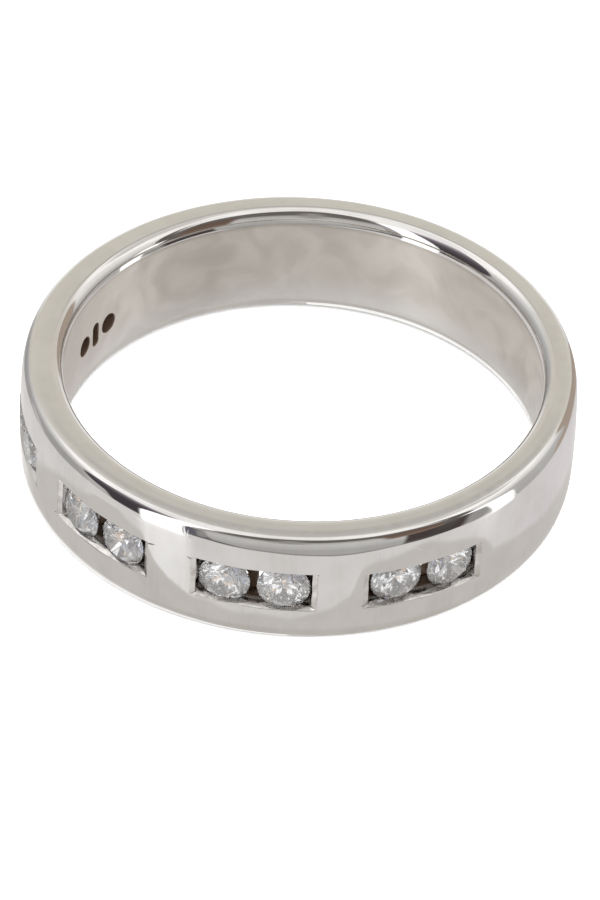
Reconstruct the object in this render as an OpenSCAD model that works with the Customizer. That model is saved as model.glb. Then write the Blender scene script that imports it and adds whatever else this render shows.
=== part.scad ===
// Half eternity ring: a white gold court band with five short channels round its front,
// and two round brilliants held under the rails of each channel.
// Millimetres. The ring lies on its side: +Z is the axis of the finger, the lower side
// face lies in the plane z = 0, and the middle channel faces -Y.

/* [Band] */
// Inside diameter, which is the finger size
bore_d = 17; // [15:0.1:21]
// Width of the band, measured along the finger
band_w = 4.4; // [4.1:0.1:5.2]
// Thickness of the wall at the middle of the head
head_t = 1.51; // [1.45:0.01:1.8]
// Thickness of the wall at the back of the finger
back_t = 1.18; // [1.15:0.01:1.4]
// Half width of the flat stretch along the middle of the outer face
flat_half = 0.9; // [0.85:0.01:1]
// Half width of the face, up to where the shoulders begin
face_half = 1.55; // [1.4:0.05:1.6]
// Radius of the slight crown between the flat stretch and the shoulders
crown_r = 12.6; // [10:0.1:20]
// Radius of the shoulder that falls from the face towards each side
shoulder_r = 2; // [1.8:0.1:3]
// Radius of the rounded outer edge
edge_r = 0.27; // [0.2:0.01:0.3]
// Radius of the rounded edge of the bore
comfort_r = 0.36; // [0.25:0.01:0.4]

/* [Channels] */
// Number of channels
channels = 5; // [1:1:5]
// Angle from one channel to the next
pitch = 35.8; // [34:0.1:38]
// Length of a channel's window along the band
window_l = 4.33; // [4.25:0.01:4.5]
// Height of a channel's window across the band
window_h = 1.62; // [1.5:0.01:1.75]
// Depth of the channel's floor under the outer face
window_depth = 0.95; // [0.8:0.01:1]
// Clearance between a stone and its seat
seat_gap = 0.03; // [0.02:0.01:0.05]

/* [Stones] */
// Diameter of a stone across its girdle
stone_d = 1.85; // [1.75:0.01:1.9]
// Distance between the centres of the two stones of a channel
stone_step = 2.08; // [2:0.01:2.1]
// Diameter of the table, as a share of the stone's diameter
table_share = 0.57; // [0.53:0.01:0.62]
// Angle of the kite facets
crown_angle = 34.5; // [32:0.5:36]
// Angle of the mains
pavilion_angle = 40.8; // [40:0.1:42]
// Thickness of the girdle
girdle_t = 0.055; // [0.03:0.005:0.07]
// Depth of the table's plane under the outer face
table_drop = 0.005; // [0:0.005:0.1]

/* [Pierced backs] */
// Angle from the openings behind one channel to those behind the next
back_pitch = 37.1; // [36:0.1:38]
// Diameter of the round hole behind each stone
back_hole_d = 0.72; // [0.5:0.05:0.8]
// Distance of each round hole from the slot between them
back_step = 0.81; // [0.75:0.01:0.9]
// Width of the slot between the two holes
slot_w = 0.35; // [0.25:0.01:0.45]
// Height of the slot across the band
slot_h = 0.96; // [0.8:0.01:1]
// Distance of the openings below the middle of the band
back_drop = 0.3; // [0:0.01:0.4]

/* [Hidden] */
bore_r = bore_d / 2;
outer_r = bore_r + (head_t + back_t) / 2;
head_shift = (head_t - back_t) / 2;
half_w = band_w / 2;
mid_z = band_w / 2;
// Each arc of the profile begins at the slope where the last one ended
crown_end = asin((face_half - flat_half) / crown_r);
crown_drop = crown_r * (1 - cos(crown_end));
shoulder_rise = half_w - edge_r - face_half + shoulder_r * sin(crown_end);
shoulder_end = asin(shoulder_rise / (shoulder_r - edge_r));
shoulder_drop = shoulder_r * (cos(crown_end) - cos(shoulder_end));
edge_drop = crown_drop + shoulder_drop + edge_r * cos(shoulder_end);
// Straight steps that stand for the arcs of the crown, the shoulder and the rounded edges
crown_steps = 2;
shoulder_steps = 4;
edge_steps = 8;
// How far a cutter runs past the metal that it cuts
past = 1;
round_fn = 96;

stone_r = stone_d / 2;
table_r = stone_r * table_share;
crown_h = (stone_r - table_r) * tan(crown_angle);
pavilion_h = stone_r * tan(pavilion_angle);
girdle_drop = table_drop + crown_h;
// How far the stars reach from table to girdle, and the lower girdle facets from girdle to culet
star_share = 0.52;
lower_share = 0.78;
stones = 2 * channels;

STONE_NAMES = [for (n = [1 : stones]) str("stone_", n < 10 ? "0" : "", n)];

// Points of an arc round a centre, from one angle to another
function arc(centre, r, from, to, steps) =
    [for (i = [0 : steps]) let (a = from + (to - from) * i / steps)
        centre + r * [cos(a), sin(a)]];

// Angle of channel k round the finger, where 0 is the middle of the head
function channel_angle(k) = (k - (channels + 1) / 2) * pitch;

// Distance of the outer face from the finger's axis, at an angle from the head
function face_r(angle) =
    head_shift * cos(angle) + sqrt(pow(outer_r, 2) - pow(head_shift * sin(angle), 2));

// Angle between a stone and the middle of its channel
function stone_angle(k) =
    asin(stone_step / 2 / (face_r(channel_angle(k)) - girdle_drop));

// Half of the outer profile above the middle of the band: flat, crown, shoulder, rounded edge
crown_points = arc([outer_r - crown_r, flat_half], crown_r, 0, crown_end, crown_steps);
shoulder_centre = crown_points[crown_steps] - shoulder_r * [cos(crown_end), sin(crown_end)];
shoulder_points = arc(shoulder_centre, shoulder_r, crown_end, shoulder_end, shoulder_steps);
edge_points = arc([outer_r - edge_drop, half_w - edge_r], edge_r, shoulder_end, 90, edge_steps);
upper_points = concat(
    crown_points,
    [for (i = [1 : shoulder_steps]) shoulder_points[i]],
    [for (i = [1 : edge_steps]) edge_points[i]]);
lower_points = [for (i = [len(upper_points) - 1 : -1 : 0]) [upper_points[i].x, -upper_points[i].y]];

module outer_solid() {
    axis_points = [[0, half_w], [0, -half_w]];
    translate([0, -head_shift, mid_z])
        rotate_extrude($fn = round_fn)
            polygon(concat(upper_points, axis_points, lower_points));
}

// The bore with its rounded mouths, as the solid that is taken away
module bore_cutter() {
    mouth = arc([bore_r + comfort_r, half_w - comfort_r], comfort_r, 180, 90, edge_steps);
    mouth_down = [for (i = [edge_steps : -1 : 0]) [mouth[i].x, -mouth[i].y]];
    wide_r = bore_r + comfort_r;
    ends_up = [[wide_r, half_w + past], [0, half_w + past]];
    ends_down = [[0, -half_w - past], [wide_r, -half_w - past]];
    translate([0, 0, mid_z])
        rotate_extrude($fn = round_fn)
            polygon(concat(mouth, ends_up, ends_down, mouth_down));
}

// Places its children so that +Z points outwards and the origin lies on a stone's girdle
module at_girdle(k, side) {
    angle = channel_angle(k) + side * stone_angle(k);
    translate([0, 0, mid_z])
        rotate([0, 0, angle])
            translate([0, girdle_drop - face_r(channel_angle(k)), 0])
                rotate([90, 0, 0])
                    children();
}

// The space that one stone needs: its own outline with the clearance round it
module seat_cutter() {
    gap_r = stone_r + seat_gap;
    table_h = seat_gap + (gap_r - table_r) * tan(crown_angle);
    tip_h = -girdle_t - seat_gap - gap_r * tan(pavilion_angle);
    rotate_extrude($fn = round_fn)
        polygon([
            [0, crown_h + past],
            [table_r, crown_h + past],
            [table_r, table_h],
            [gap_r, seat_gap],
            [gap_r, -girdle_t - seat_gap],
            [0, tip_h]
        ]);
}

// One channel: its window, the seats of its stones and the openings behind them
module channel_cutter(k) {
    r = face_r(channel_angle(k));
    translate([0, 0, mid_z])
        rotate([0, 0, channel_angle(k)])
            translate([-window_l / 2, -r - past, -window_h / 2])
                cube([window_l, window_depth + past, window_h]);
    for (side = [-1, 1])
        at_girdle(k, side)
            seat_cutter();
    back_openings(k);
}

// Round hole, slot, round hole, cut from the channel's floor to the bore
module back_openings(k) {
    r = face_r(channel_angle(k));
    depth = r - window_depth - bore_r + past + window_depth / 4;
    straight_h = slot_h - slot_w;
    translate([0, 0, mid_z - back_drop])
        rotate([0, 0, (k - (channels + 1) / 2) * back_pitch])
            translate([0, past - bore_r, 0])
                rotate([90, 0, 0]) {
                    for (side = [-1, 1])
                        translate([side * back_step, 0, 0])
                            cylinder(h = depth, d = back_hole_d, $fn = round_fn);
                    translate([-slot_w / 2, -straight_h / 2, 0])
                        cube([slot_w, straight_h, depth]);
                    for (end = [-1, 1])
                        translate([0, end * straight_h / 2, 0])
                            cylinder(h = depth, d = slot_w, $fn = round_fn);
                }
}

module band() {
    color([0.78, 0.77, 0.75])
        difference() {
            outer_solid();
            bore_cutter();
            for (k = [1 : channels])
                channel_cutter(k);
        }
}

// A round brilliant with its girdle's upper edge in the plane z = 0 and its table at +Z
module brilliant() {
    main = 360 / 8;
    half = main / 2;
    apothem = table_r * cos(half);
    star_r = apothem + (stone_r - apothem) * star_share;
    star_h = crown_h * (stone_r - star_r * cos(half)) / (stone_r - table_r);
    lower_r = stone_r * (1 - lower_share);
    lower_h = -girdle_t - pavilion_h * (1 - lower_r * cos(half) / stone_r);
    table = [for (i = [0 : 7]) [table_r * cos(i * main), table_r * sin(i * main), crown_h]];
    stars = [for (i = [0 : 7]) let (a = i * main + half) [star_r * cos(a), star_r * sin(a), star_h]];
    girdle_up = [for (i = [0 : 15]) [stone_r * cos(i * half), stone_r * sin(i * half), 0]];
    girdle_low = [for (p = girdle_up) [p.x, p.y, -girdle_t]];
    lowers = [for (i = [0 : 7]) let (a = i * main + half) [lower_r * cos(a), lower_r * sin(a), lower_h]];
    culet = [[0, 0, -girdle_t - pavilion_h]];
    s = 8;
    u = s + 8;
    d = u + 16;
    w = d + 16;
    tip = w + 8;
    kites = [for (i = [0 : 7]) [i, s + i, u + 2 * i, s + (i + 7) % 8]];
    star_facets = [for (i = [0 : 7]) [i, (i + 1) % 8, s + i]];
    upper_girdle = [for (i = [0 : 7]) each [
        [s + i, u + 2 * i + 1, u + 2 * i],
        [s + i, u + (2 * i + 2) % 16, u + 2 * i + 1]]];
    girdle = [for (i = [0 : 15]) [u + i, u + (i + 1) % 16, d + (i + 1) % 16, d + i]];
    lower_girdle = [for (i = [0 : 7]) each [
        [w + i, d + 2 * i, d + 2 * i + 1],
        [w + i, d + 2 * i + 1, d + (2 * i + 2) % 16]]];
    mains = [for (i = [0 : 7]) [d + 2 * i, w + i, tip, w + (i + 7) % 8]];
    polyhedron(
        points = concat(table, stars, girdle_up, girdle_low, lowers, culet),
        faces = concat([[7, 6, 5, 4, 3, 2, 1, 0]], kites, star_facets, upper_girdle,
            girdle, lower_girdle, mains));
}

// Stone n, counted from one end of the row to the other
module stone(n) {
    k = ceil(n / 2);
    side = n % 2 == 1 ? -1 : 1;
    color([0.86, 0.9, 0.97, 0.8])
        at_girdle(k, side)
            brilliant();
}

band();
for (n = [1 : stones])
    stone(n);
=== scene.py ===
"""The looks of a half eternity ring: a white gold court band with channels of round brilliants.

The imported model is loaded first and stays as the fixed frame. Every shape here is worked out in
millimetres from the same sizes as the model, with the ring lying on its side: +Z is the finger's
axis, the lower side face lies at z = 0, and the middle channel of the head faces -Y.
"""
import logging
import math
import random
from dataclasses import dataclass
from dataclasses import field
from enum import Enum
from typing import Callable
from typing import Iterable
from typing import Sequence

import bmesh
import bpy
import numpy as np
from mathutils import Matrix
from mathutils import Vector


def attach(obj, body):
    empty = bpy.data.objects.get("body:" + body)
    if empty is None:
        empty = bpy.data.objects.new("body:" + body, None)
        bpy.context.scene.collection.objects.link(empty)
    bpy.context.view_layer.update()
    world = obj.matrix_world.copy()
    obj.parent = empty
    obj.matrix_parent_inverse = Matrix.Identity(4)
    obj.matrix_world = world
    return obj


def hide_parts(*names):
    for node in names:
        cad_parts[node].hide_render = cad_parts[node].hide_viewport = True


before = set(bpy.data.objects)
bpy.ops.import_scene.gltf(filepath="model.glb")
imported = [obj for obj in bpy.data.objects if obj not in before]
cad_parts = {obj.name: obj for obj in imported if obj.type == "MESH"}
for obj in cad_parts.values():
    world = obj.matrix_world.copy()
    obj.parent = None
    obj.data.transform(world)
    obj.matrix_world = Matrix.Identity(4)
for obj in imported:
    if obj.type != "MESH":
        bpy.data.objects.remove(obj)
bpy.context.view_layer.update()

MM = 0.001
log = logging.getLogger("half_eternity_ring")

Colour = tuple[float, float, float]
Socket = bpy.types.NodeSocket
Node = bpy.types.Node


class Surface(Enum):
    """The surfaces of the band, numbered as its material slots."""

    FACE = 0
    SIDE = 1
    BORE = 2
    CHANNEL = 3


class Lay(Enum):
    """The way in which the marks of polishing run, as how quickly they change along x, y and z."""

    ACROSS_THE_BAND = (7.5, 7.5, 0.45)
    BROAD_BUFFING = (0.42, 0.42, 0.3)
    NO_LAY = (3.0, 3.0, 3.0)


def add_object(name: str, data: bpy.types.ID) -> bpy.types.Object:
    """Makes an object of a mesh or a camera and links it to the scene.

    Args:
        name: the object's name.
        data: the mesh or the camera.

    Returns:
        The object.
    """
    made = bpy.data.objects.new(name, data)
    bpy.context.scene.collection.objects.link(made)
    return made


def turn_outwards(mesh: bpy.types.Mesh) -> None:
    """Turns the faces of a closed mesh outwards.

    Args:
        mesh: a closed mesh, changed in place.
    """
    work = bmesh.new()
    work.from_mesh(mesh)
    bmesh.ops.recalc_face_normals(work, faces=work.faces)
    work.to_mesh(mesh)
    work.free()


def read(items: Sequence[object], label: str, width: int = 1, kind: type = float) -> np.ndarray:
    """Reads one property of all items of a mesh.

    Args:
        items: the mesh's points, corners or faces.
        label: the property's name.
        width: how many numbers each item has.
        kind: the kind of number.

    Returns:
        One number, or one row of numbers, for each item.
    """
    values = np.zeros(len(items) * width, kind)
    items.foreach_get(label, values)
    return values.reshape(-1, width) if width > 1 else values


def circle(steps: int) -> np.ndarray:
    """Gives evenly spaced angles round a full turn, in radians."""
    return np.linspace(0, 2 * math.pi, steps, endpoint=False)


@dataclass(frozen=True)
class CourtProfile:
    """The band's cross section, in millimetres, with heights measured from the middle of the band."""

    bore_r: float = 8.5
    outer_r: float = 9.845
    head_shift: float = 0.165
    half_w: float = 2.2
    face_half: float = 1.55
    crown_r: float = 30.0
    shoulder_r: float = 2.0
    edge_r: float = 0.27
    comfort_r: float = 0.36

    @property
    def crown_end(self) -> float:
        """Slope at which the crown of the face meets the shoulder, in radians."""
        return math.asin(self.face_half / self.crown_r)

    @property
    def shoulder_mid(self) -> float:
        """Height of the centre of the shoulder's arc."""
        return self.face_half - self.shoulder_r * math.sin(self.crown_end)

    @property
    def shoulder_end(self) -> float:
        """Slope at which the shoulder meets the rounded edge, in radians."""
        rise = self.half_w - self.edge_r - self.shoulder_mid
        return math.asin(rise / (self.shoulder_r - self.edge_r))

    @property
    def edge_mid(self) -> float:
        """Height of the centre of the rounded edge's arc."""
        return self.half_w - self.edge_r

    @property
    def rim_r(self) -> float:
        """Radius at which the rounded edge meets the side face."""
        return self.outer_r - self.fall(math.pi / 2)[0]

    def fall(self, slope: float) -> tuple[float, float]:
        """Finds the point of the outer profile that has a given slope.

        Args:
            slope: angle between the outward normal and the horizontal, in radians, 0 or more.

        Returns:
            How far the point lies inside the crest, and its height above the middle.
        """
        crown = min(slope, self.crown_end)
        drop = self.crown_r * (1 - math.cos(crown))
        height = self.crown_r * math.sin(crown)
        if slope > self.crown_end:
            turn = min(slope, self.shoulder_end)
            drop += self.shoulder_r * (math.cos(self.crown_end) - math.cos(turn))
            height = self.shoulder_mid + self.shoulder_r * math.sin(turn)
        if slope > self.shoulder_end:
            drop += self.edge_r * (math.cos(self.shoulder_end) - math.cos(slope))
            height = self.edge_mid + self.edge_r * math.sin(slope)
        return drop, height

    def slope_at(self, height: np.ndarray) -> np.ndarray:
        """Finds the slope of the outer face.

        Args:
            height: heights from the middle of the band.

        Returns:
            The signed slope at each height, in radians.
        """
        size = np.abs(height)
        crown = np.arcsin(np.clip(size / self.crown_r, 0, 1))
        shoulder = np.arcsin(np.clip((size - self.shoulder_mid) / self.shoulder_r, 0, 1))
        edge = np.arcsin(np.clip((size - self.edge_mid) / self.edge_r, 0, 1))
        edge_start = self.edge_mid + self.edge_r * math.sin(self.shoulder_end)
        slope = np.where(size > self.face_half, shoulder, crown)
        slope = np.where(size > edge_start, edge, slope)
        return np.sign(height) * slope

    def drop_at(self, height: float) -> float:
        """Gives how far the outer face lies inside its crest at a height from the middle."""
        return self.fall(abs(float(self.slope_at(np.array([height]))[0])))[0]

    def face_r(self, angle: float) -> float:
        """Gives the distance of the crest from the finger's axis, at an angle from the head."""
        side = self.head_shift * math.sin(angle)
        return self.head_shift * math.cos(angle) + math.sqrt(self.outer_r ** 2 - side ** 2)


@dataclass(frozen=True)
class HandPolish:
    """The slight unevenness that a polishing wheel leaves on the outer face."""

    depth: float = 0.0016
    waves: tuple[tuple[float, float, float], ...] = (
        (7, 0.6, 0.4), (11, -1.1, 2.1), (17, 1.9, 5.0), (23, 0.3, 1.2), (31, -2.3, 3.3))

    def height(self, turn: np.ndarray, z: np.ndarray) -> np.ndarray:
        """Gives the height of the waves.

        Args:
            turn: angles round the band, in radians.
            z: heights from the middle of the band.

        Returns:
            The height of the waves at each place, in millimetres.
        """
        total = np.zeros_like(turn)
        for around, across, start in self.waves:
            total = total + np.sin(around * turn + across * z + start)
        return self.depth * total / math.sqrt(len(self.waves))

    def slopes(self, turn: np.ndarray, z: np.ndarray, radius: float) -> tuple[np.ndarray, np.ndarray]:
        """Gives the slopes of the waves.

        Args:
            turn: angles round the band, in radians.
            z: heights from the middle of the band.
            radius: radius of the band, which turns an angle into a length.

        Returns:
            The slope along the band and the slope across it.
        """
        along = np.zeros_like(turn)
        across_sum = np.zeros_like(turn)
        for around, across, start in self.waves:
            swing = np.cos(around * turn + across * z + start)
            along = along + around / radius * swing
            across_sum = across_sum + across * swing
        share = self.depth / math.sqrt(len(self.waves))
        return share * along, share * across_sum


@dataclass(frozen=True)
class Brilliant:
    """One round brilliant, in millimetres, with its girdle's upper edge at height 0."""

    diameter: float = 1.85
    table_share: float = 0.57
    crown_angle: float = 34.5
    pavilion_angle: float = 40.8
    girdle_t: float = 0.055
    star_share: float = 0.52
    lower_share: float = 0.78
    culet_h: float = 0.02
    girdle_sides: int = 48
    mains: int = 8
    cut_limit: float = 1e-6
    weld: float = 2e-5

    @property
    def radius(self) -> float:
        """Radius of the girdle."""
        return self.diameter / 2

    @property
    def table_r(self) -> float:
        """Distance of the table's corners from the stone's axis."""
        return self.radius * self.table_share

    @property
    def crown_h(self) -> float:
        """Height of the table above the girdle."""
        return (self.radius - self.table_r) * math.tan(math.radians(self.crown_angle))

    @property
    def pavilion_h(self) -> float:
        """Depth of the culet under the girdle."""
        return self.radius * math.tan(math.radians(self.pavilion_angle))

    @property
    def half_step(self) -> float:
        """Half the angle between two main facets, in degrees."""
        return 180 / self.mains

    @staticmethod
    def spot(radius: float, degrees: float, height: float) -> Vector:
        """Gives a point at a radius, an angle and a height."""
        turn = math.radians(degrees)
        return Vector((radius * math.cos(turn), radius * math.sin(turn), height))

    def facets(self) -> list[tuple[Vector, Vector]]:
        """Lists the planes that the facets lie in.

        Returns:
            A point and an outward normal for each facet.
        """
        half = math.cos(math.radians(self.half_step))
        apothem = self.table_r * half
        star_r = apothem + (self.radius - apothem) * self.star_share
        star_h = self.crown_h * (self.radius - star_r * half) / (self.radius - self.table_r)
        low_r = self.radius * (1 - self.lower_share)
        low_h = -self.girdle_t - self.pavilion_h * (1 - low_r * half / self.radius)
        tip = Vector((0, 0, -self.girdle_t - self.pavilion_h))
        planes = [(Vector((0, 0, self.crown_h)), Vector((0, 0, 1)))]
        planes.append((tip + Vector((0, 0, self.culet_h)), Vector((0, 0, -1))))
        near, far = self.half_step, 2 * self.half_step
        for step in range(self.mains):
            main = far * step
            star = self.spot(star_r, main + near, star_h)
            low = self.spot(low_r, main + near, low_h)
            table = self.spot(self.table_r, main, self.crown_h)
            next_table = self.spot(self.table_r, main + far, self.crown_h)
            rim = [self.spot(self.radius, main + turn, 0) for turn in (0, near, far)]
            keel = [self.spot(self.radius, main + turn, -self.girdle_t) for turn in (0, near, far)]
            before = self.spot(star_r, main - near, star_h)
            low_before = self.spot(low_r, main - near, low_h)
            corners = [
                (table, next_table, star), (table, star, before),
                (star, rim[0], rim[1]), (star, rim[1], rim[2]),
                (low, keel[0], keel[1]), (low, keel[1], keel[2]), (tip, low, low_before)]
            planes.extend(self.outward(*three) for three in corners)
        return planes

    def outward(self, one: Vector, two: Vector, three: Vector) -> tuple[Vector, Vector]:
        """Gives the plane through three points, facing away from the stone's middle.

        Args:
            one: the first point.
            two: the second point.
            three: the third point.

        Returns:
            The first point and the outward normal.
        """
        normal = (two - one).cross(three - one).normalized()
        middle = Vector((0, 0, -self.girdle_t / 2))
        if normal.dot(one - middle) < 0:
            normal.negate()
        return one, normal

    def cut(self) -> tuple[np.ndarray, list[list[int]]]:
        """Cuts the stone from a round blank, facet by facet, as a cutter does.

        Returns:
            The corners, and the list of corners of each face.
        """
        blank = bmesh.new()
        ends = Matrix.Translation((0, 0, (self.crown_h - self.pavilion_h) / 2))
        bmesh.ops.create_cone(
            blank, cap_ends=True, segments=self.girdle_sides, radius1=self.radius,
            radius2=self.radius, depth=2 * (self.crown_h + self.pavilion_h), matrix=ends)
        for point, normal in self.facets():
            whole = blank.verts[:] + blank.edges[:] + blank.faces[:]
            made = bmesh.ops.bisect_plane(
                blank, geom=whole, dist=self.cut_limit, plane_co=point, plane_no=normal, clear_outer=True)
            edges = [item for item in made["geom_cut"] if isinstance(item, bmesh.types.BMEdge)]
            open_edges = [edge for edge in edges if edge.is_boundary]
            if len(open_edges) > 2:
                bmesh.ops.contextual_create(blank, geom=open_edges)
        bmesh.ops.remove_doubles(blank, verts=blank.verts, dist=self.weld)
        bmesh.ops.recalc_face_normals(blank, faces=blank.faces)
        blank.verts.index_update()
        corners = np.array([vert.co[:] for vert in blank.verts])
        faces = [[vert.index for vert in face.verts] for face in blank.faces]
        blank.free()
        return corners, faces


@dataclass(frozen=True)
class BevelStep:
    """One step down the wall of a window, in millimetres.

    The ends of a window slope gently and its rails fall steeply, so the ends and the rails each
    have their own growth beyond the window's size and their own depth under the face.
    """

    end_grow: float
    rail_grow: float
    corner_r: float
    end_depth: float
    rail_depth: float


@dataclass(frozen=True)
class Nick:
    """A short stroke where the graver slipped past a window's corner, in millimetres and degrees."""

    x: float
    z: float
    heading: float
    length: float
    half_width: float = 0.028
    depth: float = 0.030


@dataclass(frozen=True)
class HandCut:
    """How far a graver's window strays from the plan at its corners and ends, in millimetres."""

    top_left: float
    top_right: float
    bottom_left: float
    bottom_right: float
    left: float
    right: float
    nicks: tuple[Nick, ...]
    wobble: float = 0.007
    waves: tuple[int, int] = (5, 9)
    own_start: float = 40.0
    fine_start: float = 2.0

    def stray(self, x: np.ndarray, z: np.ndarray, size: tuple[float, float]) -> tuple[np.ndarray, np.ndarray]:
        """Moves an outline off its plan.

        Args:
            x: lengths along the band.
            z: heights from the middle of the band.
            size: half the length and half the height of the window.

        Returns:
            The lengths and heights as cut.
        """
        right = np.clip(x / size[0], -1, 1) / 2 + 0.5
        top = np.clip(z / size[1], -1, 1) / 2 + 0.5
        turn = np.arctan2(z / size[1], x / size[0])
        broad, fine = self.waves
        shake = self.wobble * (
            np.sin(broad * turn + self.own_start * self.top_left) + np.sin(fine * turn + self.fine_start))
        upper = self.top_left * (1 - right) + self.top_right * right
        lower = self.bottom_left * (1 - right) + self.bottom_right * right
        slide = self.left * (1 - right) + self.right * right
        return x + slide + shake * np.cos(turn), z + upper * top + lower * (1 - top) + shake * np.sin(turn)


@dataclass(frozen=True)
class Setting:
    """Where the channels and their stones lie on the band, in millimetres and degrees."""

    channels: int = 5
    pitch: float = 35.8
    window_l: float = 4.33
    window_h: float = 1.62
    window_depth: float = 0.95
    stone_step: float = 2.08
    table_drop: float = 0.005
    seat_gap: float = 0.016
    back_pitch: float = 37.1
    back_step: float = 0.81
    back_hole_d: float = 0.72
    slot_w: float = 0.35
    slot_h: float = 0.96
    back_drop: float = 0.3
    back_reach: float = 0.75
    end_share: float = 0.35
    bevel: tuple[BevelStep, ...] = (
        BevelStep(0.120, 0.030, 0.08, 0.000, 0.000), BevelStep(0.110, 0.016, 0.08, 0.002, 0.005),
        BevelStep(0.095, 0.007, 0.08, 0.007, 0.014), BevelStep(0.070, 0.000, 0.08, 0.016, 0.032),
        BevelStep(-0.09, -0.05, 0.06, 0.100, 0.130), BevelStep(-0.14, -0.11, 0.05, 0.240, 0.280),
        BevelStep(-0.22, -0.12, 0.05, 0.420, 0.400), BevelStep(-0.42, -0.12, 0.05, 0.800, 0.800))
    cuts: tuple[HandCut, ...] = (
        HandCut(0.01, -0.02, 0.02, 0.0, 0.0, 0.0, (
            Nick(2.2, 0.72, 10, 0.22), Nick(-2.2, -0.7, 200, 0.2))),
        HandCut(-0.03, 0.0, 0.08, 0.10, 0.25, 0.0, (
            Nick(2.2, -0.66, -35, 0.3), Nick(2.22, 0.74, 20, 0.2))),
        HandCut(0.07, -0.02, 0.05, 0.04, 0.09, 0.07, (
            Nick(2.28, 0.74, 14, 0.42), Nick(-2.2, -0.66, 215, 0.25))),
        HandCut(0.04, -0.02, 0.0, -0.03, 0.05, -0.04, (
            Nick(-2.15, 0.74, 160, 0.25), Nick(2.15, 0.7, 40, 0.2))),
        HandCut(-0.16, -0.24, -0.05, -0.18, -0.04, -0.02, (Nick(-2.2, -0.7, 200, 0.22),)))

    @property
    def half_size(self) -> tuple[float, float]:
        """Half the length and half the height of a window."""
        return self.window_l / 2, self.window_h / 2

    def turn(self, channel: int) -> float:
        """Gives the angle of a channel from the head's middle, in radians."""
        return math.radians((channel - (self.channels + 1) / 2) * self.pitch)

    def back_turn(self, channel: int) -> float:
        """Gives the angle of the openings behind a channel, in radians."""
        return math.radians((channel - (self.channels + 1) / 2) * self.back_pitch)


class Solid:
    """A closed mesh in the making, in millimetres."""

    def __init__(self) -> None:
        """Starts with no points and no faces."""
        self.points: list[Sequence[float]] = []
        self.faces: list[Sequence[int]] = []

    def loft(self, loops: Sequence[np.ndarray]) -> "Solid":
        """Skins a row of loops of equal length and closes both ends with fans.

        Args:
            loops: the loops, each an array of points, from one end to the other.

        Returns:
            The solid itself.
        """
        count = len(loops[0])
        start = len(self.points)
        for loop in loops:
            self.points.extend(loop.tolist())
        for row in range(len(loops) - 1):
            low = start + row * count
            for step in range(count):
                after = (step + 1) % count
                self.faces.append((low + step, low + after, low + count + after, low + count + step))
        for row, flip in ((0, True), (len(loops) - 1, False)):
            middle = len(self.points)
            self.points.append(loops[row].mean(axis=0).tolist())
            base = start + row * count
            for step in range(count):
                after = (step + 1) % count
                fan = (base + step, base + after, middle)
                self.faces.append(fan[::-1] if flip else fan)
        return self

    def to_cutter(self, name: str) -> bpy.types.Object:
        """Makes an object that cuts channels.

        Args:
            name: the object's name.

        Returns:
            The object, still in millimetres.
        """
        mesh = bpy.data.meshes.new(name)
        mesh.from_pydata([tuple(point) for point in self.points], [], [tuple(f) for f in self.faces])
        mesh.polygons.foreach_set("material_index", [Surface.CHANNEL.value] * len(self.faces))
        turn_outwards(mesh)
        return add_object(name, mesh)


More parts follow.
